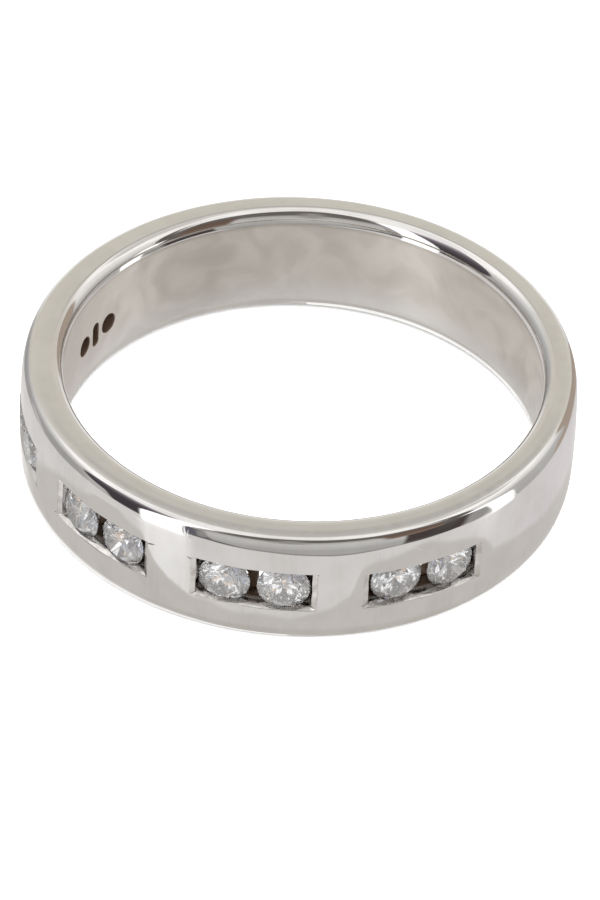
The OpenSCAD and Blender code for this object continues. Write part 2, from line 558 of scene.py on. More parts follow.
@dataclass
class ChannelTool:
    """The cutters that open one channel: its window, its seats and its pierced back."""

    channel: int
    profile: CourtProfile
    setting: Setting
    stone: Brilliant
    side_steps: int = 26
    end_steps: int = 8
    corner_steps: int = 5
    round_steps: int = 64
    opening_steps: int = 48
    above: float = 0.6
    seat_rise: float = 1.0
    tip_r: float = 0.0005
    nick_shares: tuple[float, ...] = (0.0, 0.12, 0.35, 0.6, 0.85, 1.0)
    nick_start: float = 0.1
    nick_tip: float = 0.06
    nick_above: float = 0.2
    opening_edge: tuple[tuple[float, float], ...] = ((-1.0, 0.035), (0.0, 0.035), (0.02, 0.012), (0.05, 0.0))

    def __post_init__(self) -> None:
        """Works out the channel's own directions: along the band, outwards and up."""
        self.head_for(self.setting.turn(self.channel))
        self.crest = self.profile.face_r(self.setting.turn(self.channel))
        self.cut = self.setting.cuts[self.channel - 1]

    def head_for(self, turn: float) -> None:
        """Turns the cutter's directions.

        Args:
            turn: angle from the head's middle, in radians.
        """
        self.along = np.array([math.cos(turn), math.sin(turn), 0.0])
        self.out = np.array([math.sin(turn), -math.cos(turn), 0.0])
        self.up = np.array([0.0, 0.0, 1.0])

    def place(self, x: np.ndarray, reach: np.ndarray, z: np.ndarray) -> np.ndarray:
        """Turns lengths along the band, reaches from the axis and heights into points."""
        return np.outer(x, self.along) + np.outer(reach, self.out) + np.outer(z, self.up)

    def reach(self, x: float, z: float) -> float:
        """Measures how far out the outer face lies.

        Args:
            x: length along the band, in the channel's own directions.
            z: height from the middle of the band.

        Returns:
            The distance from the finger's axis, along the channel's outward direction.
        """
        shift = np.array([0.0, -self.profile.head_shift, 0.0])
        radius = self.profile.outer_r - self.profile.drop_at(z)
        side = x - float(shift @ self.along)
        return float(shift @ self.out) + math.sqrt(radius ** 2 - side ** 2)

    def outline(self, step: BevelStep) -> tuple[np.ndarray, np.ndarray, np.ndarray]:
        """Traces the window's rounded rectangle at one step of its walls.

        Args:
            step: the step of the wall.

        Returns:
            The outline's lengths along the band, its heights, and its share of an end's slope.
        """
        size = self.setting.half_size
        half_l = size[0] + step.end_grow - step.corner_r
        half_h = size[1] + step.rail_grow - step.corner_r
        spots: list[tuple[float, float, float]] = []
        signs = ((1, 1), (-1, 1), (-1, -1), (1, -1))
        for quarter, (sign_x, sign_z) in enumerate(signs):
            for part in range(self.corner_steps + 1):
                turn = math.pi / 2 * (quarter + part / self.corner_steps)
                spots.append((
                    sign_x * half_l + step.corner_r * math.cos(turn),
                    sign_z * half_h + step.corner_r * math.sin(turn), math.cos(turn) ** 2))
            next_x, next_z = signs[(quarter + 1) % 4]
            steps = self.side_steps if quarter % 2 == 0 else self.end_steps
            turn = math.pi / 2 * (quarter + 1)
            last = spots[-1]
            goal = (next_x * half_l + step.corner_r * math.cos(turn),
                    next_z * half_h + step.corner_r * math.sin(turn))
            for part in range(1, steps):
                share = part / steps
                spots.append((last[0] + (goal[0] - last[0]) * share,
                              last[1] + (goal[1] - last[1]) * share, float(quarter % 2)))
        array = np.array(spots)
        shy = np.clip(array[:, 0] / size[0], -1, 1) ** 2 * (1 - self.setting.end_share)
        beyond = np.maximum(np.abs(array[:, 1]) - size[1], 0)
        array[:, 1] -= np.sign(array[:, 1]) * beyond * shy
        x, z = self.cut.stray(array[:, 0], array[:, 1], size)
        return x, z, array[:, 2]

    def window(self) -> bpy.types.Object:
        """Makes the window's cutter, with gently sloped ends and steep, slightly leaning rails.

        Returns:
            The cutter.
        """
        loops = []
        for step in self.setting.bevel:
            x, z, end = self.outline(step)
            depth = end * step.end_depth + (1 - end) * step.rail_depth
            reach = np.array([self.reach(a, b) for a, b in zip(x, z)]) - depth
            if not loops:
                loops.append(self.place(x, reach + self.above, z))
            loops.append(self.place(x, reach, z))
        floor = np.full_like(x, self.crest - self.setting.window_depth)
        loops.append(self.place(x, floor, z))
        return Solid().loft(loops).to_cutter(f"window_{self.channel}")

    def nick(self, nick: Nick) -> bpy.types.Object:
        """Makes the cutter of one slip of the graver, a groove that runs out at both ends.

        Args:
            nick: the slip's place, heading and size.

        Returns:
            The cutter.
        """
        turn = math.radians(nick.heading)
        across = np.array([-1, -1, 0, 1, 1])
        loops = []
        for share in self.nick_shares:
            size = max(math.sin(math.pi * min(share + self.nick_start, 1.0)), self.nick_tip)
            half = nick.half_width * size
            x = nick.x + nick.length * share * math.cos(turn) + half * math.sin(turn) * across
            z = nick.z + nick.length * share * math.sin(turn) - half * math.cos(turn) * across
            sink = np.array([self.nick_above, 0.0, -nick.depth * size, 0.0, self.nick_above])
            reach = np.array([self.reach(a, b) for a, b in zip(x, z)]) + sink
            loops.append(self.place(x, reach, z))
        return Solid().loft(loops).to_cutter(f"nick_{self.channel}_{nick.heading}")

    def stone_frame(self, side: int) -> Matrix:
        """Gives the place of one stone: +Z outwards, with its origin on the girdle.

        Args:
            side: -1 or 1, for the two stones of the channel.

        Returns:
            The stone's matrix, in millimetres, with heights from the middle of the band.
        """
        drop = self.setting.table_drop + self.stone.crown_h
        lean = math.asin(self.setting.stone_step / 2 / (self.crest - drop))
        turn = self.setting.turn(self.channel) + side * lean
        slide = Matrix.Translation((0, drop - self.crest, 0))
        return Matrix.Rotation(turn, 4, "Z") @ slide @ Matrix.Rotation(math.pi / 2, 4, "X")

    def seat(self, side: int) -> bpy.types.Object:
        """Makes the cutter that hollows the rails for one stone.

        Args:
            side: -1 or 1, for the two stones of the channel.

        Returns:
            The cutter.
        """
        gap = self.setting.seat_gap
        wide = self.stone.radius + gap
        rise = math.tan(math.radians(self.stone.crown_angle))
        fall = math.tan(math.radians(self.stone.pavilion_angle))
        table_r = self.stone.table_r
        top = self.stone.crown_h + self.seat_rise
        keel = -self.stone.girdle_t - gap
        spots = (
            (self.tip_r, top), (table_r, top), (table_r, gap + (wide - table_r) * rise), (wide, gap),
            (wide, keel), (self.tip_r, keel - wide * fall))
        return self.turned(spots, self.stone_frame(side), f"seat_{self.channel}_{side}")

    def turned(self, spots: Iterable[tuple[float, float]], place: Matrix, name: str) -> bpy.types.Object:
        """Turns a profile into a round cutter.

        Args:
            spots: the profile's radii and heights, from one end to the other.
            place: where the cutter goes.
            name: the cutter's name.

        Returns:
            The cutter.
        """
        loops = []
        for radius, height in spots:
            ring = [place @ Vector((radius * math.cos(a), radius * math.sin(a), height))
                    for a in circle(self.round_steps)]
            loops.append(np.array([point[:] for point in ring]))
        return Solid().loft(loops).to_cutter(name)

    def back_openings(self) -> list[bpy.types.Object]:
        """Makes the cutters of the round hole, slot and round hole behind the stones.

        Returns:
            The cutters of the two round holes, and then of the slot.
        """
        setting = self.setting
        bore_r = self.profile.bore_r
        self.head_for(setting.back_turn(self.channel))
        high = self.crest - setting.window_depth * setting.back_reach
        half_w = setting.slot_w / 2
        straight = setting.slot_h / 2 - half_w
        round_r = setting.back_hole_d / 2
        turns = circle(self.opening_steps)
        lift = np.where(np.sin(turns) >= 0, straight, -straight)
        openings = ((-setting.back_step, round_r, 0 * lift), (setting.back_step, round_r, 0 * lift),
                    (0.0, half_w, lift))
        made = []
        for middle, radius, stretch in openings:
            loops = []
            for below, grow in self.opening_edge:
                x = middle + (radius + grow) * np.cos(turns)
                z = (radius + grow) * np.sin(turns) + stretch - setting.back_drop
                loops.append(self.place(x, np.sqrt(bore_r ** 2 - x ** 2) + below, z))
            loops.append(self.place(x, np.full_like(x, high), z))
            made.append(Solid().loft(loops).to_cutter(f"opening_{self.channel}_{len(made)}"))
        self.head_for(setting.turn(self.channel))
        return made

    def cutters(self) -> list[bpy.types.Object]:
        """Makes every cutter of the channel."""
        nicks = [self.nick(nick) for nick in self.cut.nicks]
        return [self.window(), self.seat(-1), self.seat(1)] + nicks + self.back_openings()


@dataclass
class Band:
    """The white gold band: its blank, the channels cut in it and the shading of each surface."""

    profile: CourtProfile
    setting: Setting
    stone: Brilliant
    polish: HandPolish
    finishes: Sequence[bpy.types.Material]
    around: int = 384
    curve_steps: tuple[int, int, int] = (13, 9, 15)
    wall_steps: tuple[float, ...] = (0.0, 0.05, 0.1, 0.16, 0.23, 0.32)
    wall_rings: int = 13
    side_parts: tuple[float, ...] = (0.0, 0.04, 0.1, 0.18, 0.28, 0.4, 0.52, 0.7, 0.86, 0.94)
    side_lean: float = 5.4
    side_flat: tuple[float, float] = (0.14, 0.5)
    wall_lean: float = 12.0
    wall_ease: float = 0.32
    wall_power: float = 1.4
    wall_polish: float = 0.12
    edge_start: float = 50.0
    inner_limit: float = 9.1
    calm: tuple[float, float] = (2.1, 0.3)
    smooth_limit: float = 40.0
    rim_match: float = 0.8
    hair: float = 0.008
    seam: float = 1e-5
    least_length: float = 1e-12

    def section(self) -> list[tuple[float, float, Surface]]:
        """Lists the points of the closed cross section.

        Returns:
            For each point its radius, its height from the middle, and the surface that starts there.
        """
        profile = self.profile
        ends = (0, profile.crown_end, profile.shoulder_end, math.pi / 2)
        slopes = [0.0]
        for start, end, steps in zip(ends, ends[1:], self.curve_steps):
            slopes += list(np.linspace(start, end, steps)[1:])
        upper = []
        for slope in slopes:
            drop, height = profile.fall(slope)
            upper.append((profile.outer_r - drop, height, Surface.FACE))
        lower = [(r, -z, Surface.FACE) for r, z, _ in upper[:0:-1]]
        mouth_r = profile.bore_r + profile.comfort_r
        mouth = []
        for slope in np.linspace(math.pi / 2, 0, self.curve_steps[-1]):
            mouth.append((
                mouth_r - profile.comfort_r * math.cos(slope),
                profile.half_w - profile.comfort_r * (1 - math.sin(slope)), Surface.FACE))
        top_z = mouth[-1][1]
        walls = tuple(top_z - step for step in self.wall_steps)
        heights = walls + tuple(np.linspace(walls[-1], -walls[-1], self.wall_rings)[1:-1])
        heights += tuple(-z for z in walls[::-1])
        polished = top_z - self.wall_polish
        bore = [(profile.bore_r, z, Surface.FACE if abs(z) > polished else Surface.BORE) for z in heights]
        spread = profile.rim_r - mouth_r
        side = [(profile.rim_r - spread * part, profile.half_w, Surface.SIDE) for part in self.side_parts]
        side_back = [(mouth_r + spread * part, -profile.half_w, Surface.SIDE)
                     for part in (0.0,) + tuple(1 - part for part in self.side_parts[:0:-1])]
        points = lower + upper[:-1] + side + mouth[:-1] + bore[:-1]
        return points + [(r, -z, Surface.FACE) for r, z, _ in mouth[:0:-1]] + side_back

    def blank(self) -> bpy.types.Object:
        """Spins the cross section into the uncut band.

        Returns:
            The uncut band, in millimetres.
        """
        section = self.section()
        count = len(section)
        turns = circle(self.around)
        rim_r = self.profile.rim_r
        mouth_r = self.profile.bore_r + self.profile.comfort_r
        points = np.zeros((self.around, count, 3))
        for place, (radius, height, surface) in enumerate(section):
            share = np.clip((radius - mouth_r) / (rim_r - mouth_r), 0, 1)
            rise = np.zeros(self.around)
            if surface is Surface.FACE and radius > rim_r:
                rise = self.polish.height(turns, np.full(self.around, height))
            points[:, place, 0] = (radius + rise) * np.cos(turns)
            points[:, place, 1] = (radius + rise) * np.sin(turns) - share * self.profile.head_shift
            points[:, place, 2] = height
        faces = []
        kinds = []
        for ring in range(self.around):
            after = (ring + 1) % self.around
            for place in range(count):
                step = (place + 1) % count
                faces.append((ring * count + place, after * count + place,
                              after * count + step, ring * count + step))
                kinds.append(section[place][2].value)
        mesh = bpy.data.meshes.new("band_blank")
        mesh.from_pydata(points.reshape(-1, 3).tolist(), [], faces)
        mesh.polygons.foreach_set("material_index", kinds)
        turn_outwards(mesh)
        return add_object("band_blank", mesh)

    def carve(self, blank: bpy.types.Object) -> bpy.types.Mesh:
        """Cuts every channel out of the blank.

        Args:
            blank: the uncut band.

        Returns:
            The carved mesh, in millimetres.
        """
        tools = [ChannelTool(k, self.profile, self.setting, self.stone)
                 for k in range(1, self.setting.channels + 1)]
        cutters = [cutter for tool in tools for cutter in tool.cutters()]
        for thing in [blank] + cutters:
            for finish in self.finishes:
                thing.data.materials.append(finish)
        for cutter in cutters:
            cut = blank.modifiers.new(cutter.name, "BOOLEAN")
            cut.operation = "DIFFERENCE"
            cut.solver = "MANIFOLD"
            cut.object = cutter
        bpy.context.view_layer.update()
        ready = blank.evaluated_get(bpy.context.evaluated_depsgraph_get())
        carved = bpy.data.meshes.new_from_object(ready)
        for thing in [blank] + cutters:
            bpy.data.objects.remove(thing)
        return carved

    def true_normals(self, points: np.ndarray, kinds: np.ndarray) -> np.ndarray:
        """Gives the exact normal of the band's own surfaces at points on them.

        Args:
            points: points in millimetres, with heights from the middle of the band.
            kinds: the surface's number for each point.

        Returns:
            One unit normal for each point.
        """
        profile = self.profile
        z = points[:, 2]
        outer_turn = np.arctan2(points[:, 1] + profile.head_shift, points[:, 0])
        inner_turn = np.arctan2(points[:, 1], points[:, 0])
        reach = np.hypot(points[:, 0], points[:, 1])
        start = self.edge_start
        slope = self.eased(profile.slope_at(z), start, 90.0, start, 90.0 - self.side_lean)
        along, across = self.polish.slopes(outer_turn, z, profile.outer_r)
        calm = np.clip((self.calm[0] - np.abs(z)) / self.calm[1], 0, 1)
        outward = np.cos(slope) + across * calm * np.sin(slope)
        upward = np.sin(slope) - across * calm * np.cos(slope)
        swing = -along * calm
        face = np.stack([
            outward * np.cos(outer_turn) - swing * np.sin(outer_turn),
            outward * np.sin(outer_turn) + swing * np.cos(outer_turn), upward], axis=1)
        mouth_z = profile.half_w - profile.comfort_r
        turned = np.arcsin(np.clip((np.abs(z) - mouth_z) / profile.comfort_r, 0, 1)) * np.sign(z)
        mouth = self.eased(turned, 0.0, 90.0, self.wall_lean, 90.0 - self.side_lean)
        rise = np.clip((np.abs(z) - mouth_z + self.wall_ease) / self.wall_ease, 0, 1)
        wall = np.radians(self.wall_lean) * rise ** self.wall_power * np.sign(z)
        mouth = np.where(np.abs(z) > mouth_z + self.seam, mouth, wall)
        inner = np.stack([
            -np.cos(mouth) * np.cos(inner_turn), -np.cos(mouth) * np.sin(inner_turn),
            np.sin(mouth)], axis=1)
        mouth_r = profile.bore_r + profile.comfort_r
        off = profile.head_shift
        rim = np.sqrt(profile.rim_r ** 2 - (off * np.cos(inner_turn)) ** 2) - off * np.sin(inner_turn)
        share = np.clip((reach - mouth_r) / (rim - mouth_r), 0, 1)
        near, far = self.side_flat
        lean = np.clip((share - far) / (1 - far), 0, 1) - np.clip((near - share) / near, 0, 1)
        lean = np.radians(self.side_lean) * lean
        side = np.stack([
            np.sin(lean) * np.cos(inner_turn), np.sin(lean) * np.sin(inner_turn),
            np.sign(z) * np.cos(lean)], axis=1)
        normals = np.where((reach > self.inner_limit)[:, None], face, inner)
        normals = np.where((kinds == Surface.SIDE.value)[:, None], side, normals)
        return normals / np.linalg.norm(normals, axis=1, keepdims=True)

    @staticmethod
    def eased(slope: np.ndarray, start: float, end: float, low: float, high: float) -> np.ndarray:
        """Eases slopes between two angles into a narrower span, as a buffing wheel does.

        Args:
            slope: signed slopes, in radians.
            start: slope at which the easing begins, in degrees.
            end: slope at which it ends, in degrees.
            low: eased slope at the start, in degrees.
            high: eased slope at the end, in degrees.

        Returns:
            The eased slopes, in radians.
        """
        size = np.degrees(np.abs(slope))
        turned = low + (size - start) * (high - low) / (end - start)
        return np.sign(slope) * np.radians(np.where(size > start, turned, size))

    def shade(self, mesh: bpy.types.Mesh) -> None:
        """Gives the carved mesh normals that follow the real curves, not its facets.

        Args:
            mesh: the carved mesh, in millimetres, changed in place.
        """
        corner_vert = read(mesh.loops, "vertex_index", kind=np.int32)
        points = read(mesh.vertices, "co", 3)
        areas = read(mesh.polygons, "area")
        flat = read(mesh.polygons, "normal", 3)
        sizes = read(mesh.polygons, "loop_total", kind=np.int32)
        corner_face = np.repeat(np.arange(len(sizes)), sizes)
        corner_kind = read(mesh.polygons, "material_index", kind=np.int32)[corner_face]
        true = self.true_normals(points[corner_vert], corner_kind)
        normals = true.copy()
        cut = np.nonzero(corner_kind == Surface.CHANNEL.value)[0]
        meeting: dict[int, list[int]] = {}
        for corner in cut:
            meeting.setdefault(int(corner_vert[corner]), []).append(int(corner))
        limit = math.cos(math.radians(self.smooth_limit))
        on_face = self.lies_on_face(points[corner_vert])
        for corners in meeting.values():
            owners = corner_face[corners]
            own = flat[owners]
            near = (own @ own.T) > limit
            mixed = (near * areas[owners][None, :]) @ own
            mixed /= np.maximum(np.linalg.norm(mixed, axis=1, keepdims=True), self.least_length)
            for place, corner in enumerate(corners):
                rim = on_face[corner] and float(own[place] @ true[corner]) > self.rim_match
                normals[corner] = true[corner] if rim else mixed[place]
        mesh.shade_smooth()
        mesh.normals_split_custom_set(normals.tolist())

    def lies_on_face(self, points: np.ndarray) -> np.ndarray:
        """Tells which points lie on the crown of the outer face, within a hair.

        Args:
            points: points in millimetres, with heights from the middle of the band.

        Returns:
            True or False for each point.
        """
        profile = self.profile
        reach = np.hypot(points[:, 0], points[:, 1] + profile.head_shift)
        size = np.abs(points[:, 2])
        crest = profile.outer_r - profile.crown_r + np.sqrt(profile.crown_r ** 2 - size ** 2)
        return (size <= profile.face_half) & (np.abs(reach - crest) < self.hair)

    def build(self) -> bpy.types.Object:
        """Makes the finished band as one piece.

        Returns:
            The band, in metres.
        """
        mesh = self.carve(self.blank())
        self.shade(mesh)
        lift = Matrix.Translation((0, 0, self.profile.half_w * MM))
        mesh.transform(lift @ Matrix.Scale(MM, 4))
        mesh.name = "polished_band"
        return add_object("polished_band", mesh)


@dataclass
class StoneRow:
    """The ten brilliants, each turned its own way in its seat."""

    profile: CourtProfile
    setting: Setting
    stone: Brilliant
    finish: bpy.types.Material
    seed: int = 8
    spin: float = 45.0
    lean: float = 0.6

    def build(self) -> list[bpy.types.Object]:
        """Cuts one stone and sets a copy of it in each seat.

        Returns:
            The stones, from one end of the row to the other.
        """
        corners, faces = self.stone.cut()
        chance = random.Random(self.seed)
        lift = Matrix.Translation((0, 0, self.profile.half_w * MM))
        made = []
        for channel in range(1, self.setting.channels + 1):
            tool = ChannelTool(channel, self.profile, self.setting, self.stone)
            for side in (-1, 1):
                spin = Matrix.Rotation(math.radians(chance.uniform(0, self.spin)), 4, "Z")
                tip = Matrix.Rotation(math.radians(chance.uniform(-self.lean, self.lean)), 4, "X")
                nod = Matrix.Rotation(math.radians(chance.uniform(-self.lean, self.lean)), 4, "Y")
                place = lift @ Matrix.Scale(MM, 4) @ tool.stone_frame(side) @ tip @ nod @ spin
                name = f"brilliant_{len(made) + 1:02d}"
                mesh = bpy.data.meshes.new(name)
                mesh.from_pydata([tuple(place @ Vector(c)) for c in corners], [], faces)
                mesh.materials.append(self.finish)
                made.append(add_object(name, mesh))
        return made


class NodeSheet:
    """A short hand for placing and joining shader nodes in one tree."""

    columns = 12
    column_width = 180
    row_height = 240

    def __init__(self, tree: bpy.types.NodeTree) -> None:
        """Takes the tree that the nodes go into."""
        self.tree = tree
        self.placed = 0

    def add(self, kind: str, **settings: object) -> Node:
        """Places a node and sets its properties.

        Args:
            kind: the node's type.
            settings: a value for each property.

        Returns:
            The node.
        """
        node = self.tree.nodes.new(kind)
        row, column = divmod(self.placed, self.columns)
        node.location = (self.column_width * column, -self.row_height * row)
        self.placed += 1
        for name, value in settings.items():
            setattr(node, name, value)
        return node

    def join(self, source: object, goal: Socket) -> None:
        """Feeds a socket.

        Args:
            source: another socket, or a plain value.
            goal: the socket.
        """
        if isinstance(source, Socket):
            self.tree.links.new(source, goal)
        else:
            goal.default_value = source

    def object_place(self) -> Socket:
        """Gives the place on the object, in metres."""
        return self.add("ShaderNodeTexCoord").outputs["Object"]

    def split(self, vector: object) -> bpy.types.NodeOutputs:
        """Takes a vector apart.

        Args:
            vector: a socket or a plain vector.

        Returns:
            The sockets of its three parts.
        """
        node = self.add("ShaderNodeSeparateXYZ")
        self.join(vector, node.inputs[0])
        return node.outputs

    def sum(self, operation: str, *parts: object) -> Socket:
        """Places a Math node.

        Args:
            operation: what the node works out.
            parts: a socket or a number for each input.

        Returns:
            The socket of the result.
        """
        node = self.add("ShaderNodeMath", operation=operation)
        for number, part in enumerate(parts):
            self.join(part, node.inputs[number])
        return node.outputs[0]

    def plus(self, first: object, second: object) -> Socket:
        """Adds two values."""
        return self.sum("ADD", first, second)

    def minus(self, first: object, second: object) -> Socket:
        """Takes the second value from the first."""
        return self.sum("SUBTRACT", first, second)

    def times(self, first: object, second: object) -> Socket:
        """Multiplies two values."""
        return self.sum("MULTIPLY", first, second)

    def scaled(self, vector: object, scale: object) -> Socket:
        """Scales a vector.

        Args:
            vector: a socket or a plain vector.
            scale: a socket or a number.

        Returns:
            The socket of the scaled vector.
        """
        node = self.add("ShaderNodeVectorMath", operation="SCALE")
        self.join(vector, node.inputs[0])
        self.join(scale, node.inputs["Scale"])
        return node.outputs[0]

    def noise(self, vector: object, scale: object, seed: object = None, detail: object = 2.0,
              swirl: object = 0.0) -> Socket:
        """Places a Noise Texture node, which has a fourth dimension where a seed is given.

        Args:
            vector: where the noise is read.
            scale: how fine it is.
            seed: a place in the fourth dimension, which sets one noise apart from another.
            detail: how many finer layers it has.
            swirl: how far it is twisted.

        Returns:
            The socket of the noise.
        """
        node = self.add("ShaderNodeTexNoise", noise_dimensions="3D" if seed is None else "4D")
        values = {"Vector": vector, "Scale": scale, "Detail": detail, "Distortion": swirl}
        if seed is not None:
            values["W"] = seed
        for label, value in values.items():
            self.join(value, node.inputs[label])
        return node.outputs[0]

    def spread(self, value: object, low: object, high: object, to_low: float = 0.0,
               to_high: float = 1.0, smooth: bool = True) -> Socket:
        """Places a Map Range node, which carries one range over to another.

        Args:
            value: what is carried over.
            low: the first end of its range.
            high: the other end of its range.
            to_low: what the first end becomes.
            to_high: what the other end becomes.
            smooth: whether it eases in and out.

        Returns:
            The socket of the result.
        """
        node = self.add("ShaderNodeMapRange", interpolation_type="SMOOTHSTEP" if smooth else "LINEAR")
        for number, part in enumerate((value, low, high, to_low, to_high)):
            self.join(part, node.inputs[number])
        return node.outputs[0]

    def curve(self, value: object, points: Sequence[tuple[float, float]]) -> Socket:
        """Places a Float Curve node through some points.

        Args:
            value: what the curve is read at.
            points: the curve's points, from left to right.

        Returns:
            The height of the curve at the value.
        """
        start, end = points[0][0], points[-1][0]
        low = min(height for _, height in points)
        rise = max(height for _, height in points) - low
        node = self.add("ShaderNodeFloatCurve")
        line = node.mapping.curves[0]
        spots = [((at - start) / (end - start), (height - low) / rise) for at, height in points]
        line.points[0].location = spots[0]
        line.points[1].location = spots[-1]
        for spot in spots[1:-1]:
            line.points.new(*spot)
        for point in line.points:
            point.handle_type = "VECTOR"
        node.mapping.update()
        self.join(self.spread(value, start, end, smooth=False), node.inputs["Value"])
        return self.sum("MULTIPLY_ADD", node.outputs[0], rise, low)

    def blend(self, share: object, first: object, second: object) -> Socket:
        """Mixes two colours.

        Args:
            share: the share of the second colour.
            first: a socket or a plain colour.
            second: a socket or a plain colour.

        Returns:
            The socket of the mixed colour.
        """
        node = self.add("ShaderNodeMix", data_type="RGBA")
        self.join(share, node.inputs[0])
        for socket, value in ((node.inputs[6], first), (node.inputs[7], second)):
            self.join(value if isinstance(value, Socket) else (*value, 1.0), socket)
        return node.outputs[2]


def new_material(name: str) -> tuple[bpy.types.Material, NodeSheet, dict[str, Socket]]:
    """Makes a material with a Principled BSDF.

    Args:
        name: the material's name.

    Returns:
        The material, its tree, and the inputs of its Principled BSDF.
    """
    material = bpy.data.materials.new(name)
    material.use_nodes = True
    principled = material.node_tree.nodes["Principled BSDF"]
    return material, NodeSheet(material.node_tree), {socket.name: socket for socket in principled.inputs}


class EffectGroup:
    """A shader node group that is built once and placed in each material with its own values.

    Its inputs are numbers, each with its value at rest, or a vector where there is none.
    """

    name = "effect"
    inputs: dict[str, float | None] = {}
    outputs: tuple[str, ...] = ("Mask",)

    def tree(self) -> bpy.types.NodeTree:
        """Gives the group's tree, and builds it the first time.

        Returns:
            The tree.
        """
        found = bpy.data.node_groups.get(self.name)
        if found:
            return found
        made = bpy.data.node_groups.new(self.name, "ShaderNodeTree")
        for label, value in self.inputs.items():
            kind = "NodeSocketVector" if value is None else "NodeSocketFloat"
            socket = made.interface.new_socket(label, in_out="INPUT", socket_type=kind)
            if value is not None:
                socket.default_value = value
        for label in self.outputs:
            made.interface.new_socket(label, in_out="OUTPUT", socket_type="NodeSocketFloat")
        sheet = NodeSheet(made)
        entry = sheet.add("NodeGroupInput")
        leave = sheet.add("NodeGroupOutput")
        self.fill(sheet, entry, leave)
        return made

    def fill(self, sheet: NodeSheet, entry: Node, leave: Node) -> None:
        """Builds what is inside the group."""
        raise NotImplementedError

    def place(self, sheet: NodeSheet, **values: object) -> Node:
        """Places the group in another tree.

        Args:
            sheet: the tree that the group goes into.
            values: a socket or a value for each input, with its spaces written as underscores.

        Returns:
            The group's node.
        """
        node = sheet.add("ShaderNodeGroup", node_tree=self.tree())
        for label, value in values.items():
            sheet.join(value, node.inputs[label.replace("_", " ")])
        return node


class PolishMarks(EffectGroup):
    """Fine marks that run one way over the metal, as a height and as a mask."""

    name = "polish_marks"
    inputs = {"Lay": None, "Detail": 4.0}
    outputs = ("Height", "Mask")
    levels = (0.35, 0.65)

    def fill(self, sheet: NodeSheet, entry: Node, leave: Node) -> None:
        """Stretches noise along the lay.

        Args:
            sheet: the group's tree.
            entry: the node that brings in the group's inputs.
            leave: the node that takes out its outputs.
        """
        laid = sheet.add("ShaderNodeVectorMath", operation="MULTIPLY")
        sheet.join(sheet.scaled(sheet.object_place(), 1 / MM), laid.inputs[0])
        sheet.join(entry.outputs["Lay"], laid.inputs[1])
        noise = sheet.noise(laid.outputs[0], 1.0, detail=entry.outputs["Detail"])
        sheet.join(noise, leave.inputs["Height"])
        sheet.join(sheet.spread(noise, *self.levels), leave.inputs["Mask"])


class SoftPatches(EffectGroup):
    """Broad soft patches, where the metal is a little duller or warmer."""

    name = "soft_patches"
    inputs = {"Size": 1.0, "Seed": 0.0, "Swirl": 0.0}
    levels = (0.3, 0.7)

    def fill(self, sheet: NodeSheet, entry: Node, leave: Node) -> None:
        """Makes slow noise whose size is given in millimetres.

        Args:
            sheet: the group's tree.
            entry: the node that brings in the group's inputs.
            leave: the node that takes out its outputs.
        """
        scale = sheet.sum("DIVIDE", 1 / MM, entry.outputs["Size"])
        noise = sheet.noise(sheet.object_place(), scale, entry.outputs["Seed"], swirl=entry.outputs["Swirl"])
        sheet.join(sheet.spread(noise, *self.levels), leave.inputs["Mask"])


class WearMarks(EffectGroup):
    """Stray scratches and small dings from wear, as a height below the surface."""

    name = "wear_marks"
    inputs = {"Spacing": 1.0}
    outputs = ("Height",)
    seeds = (3.1, 9.7, 21.3)
    level = 0.5
    line_width = 0.006
    break_seed = 40.0
    break_scale = 1.7
    break_levels = (0.56, 0.66)
    ding_scale = 1.3
    ding_size = 0.05
    ding_depth = 2.0

    def fill(self, sheet: NodeSheet, entry: Node, leave: Node) -> None:
        """Draws thin curved lines where slow noise crosses a level, broken up into strokes.

        Args:
            sheet: the group's tree.
            entry: the node that brings in the group's inputs.
            leave: the node that takes out its outputs.
        """
        spot = sheet.object_place()
        scale = sheet.sum("DIVIDE", 1 / MM, entry.outputs["Spacing"])
        total: object = 0.0
        for seed in self.seeds:
            slow = sheet.noise(spot, scale, seed, detail=0.0)
            gap = sheet.sum("ABSOLUTE", sheet.minus(slow, self.level))
            line = sheet.spread(gap, self.line_width, 0.0)
            breaks = sheet.noise(spot, sheet.times(scale, self.break_scale), seed + self.break_seed)
            stroke = sheet.times(line, sheet.spread(breaks, *self.break_levels))
            total = sheet.plus(total, stroke)
        dings = sheet.add("ShaderNodeTexVoronoi")
        sheet.join(spot, dings.inputs["Vector"])
        sheet.join(sheet.times(scale, self.ding_scale), dings.inputs["Scale"])
        pit = sheet.spread(dings.outputs["Distance"], self.ding_size, 0.0)
        depth = sheet.plus(total, sheet.times(pit, self.ding_depth))
        sheet.join(sheet.times(depth, -1.0), leave.inputs["Height"])


class DepthShade(EffectGroup):
    """A mask that grows with the depth below the outer face, for the painted shade that darkens the channels'
    recesses.
    """

    name = "depth_shade"
    inputs = {"Shallow": 9.7, "Deep": 9.0, "Shift": 0.0}
    bore = (8.44, 8.53)

    def fill(self, sheet: NodeSheet, entry: Node, leave: Node) -> None:
        """Measures the distance from the outer circle's axis and from the bore, in millimetres.

        Args:
            sheet: the group's tree.
            entry: the node that brings in the group's inputs.
            leave: the node that takes out its outputs.
        """
        parts = sheet.split(sheet.scaled(sheet.object_place(), 1 / MM))
        x, y = parts[0], parts[1]
        outer = (entry.outputs["Shift"], entry.outputs["Shallow"], entry.outputs["Deep"])
        mask: object = 1.0
        for shift, low, high in (outer, (0.0, *self.bore)):
            moved = sheet.plus(y, shift)
            square = sheet.plus(sheet.times(x, x), sheet.times(moved, moved))
            reach = sheet.sum("SQRT", square)
            mask = sheet.times(mask, sheet.spread(reach, low, high))
        sheet.join(mask, leave.inputs["Mask"])


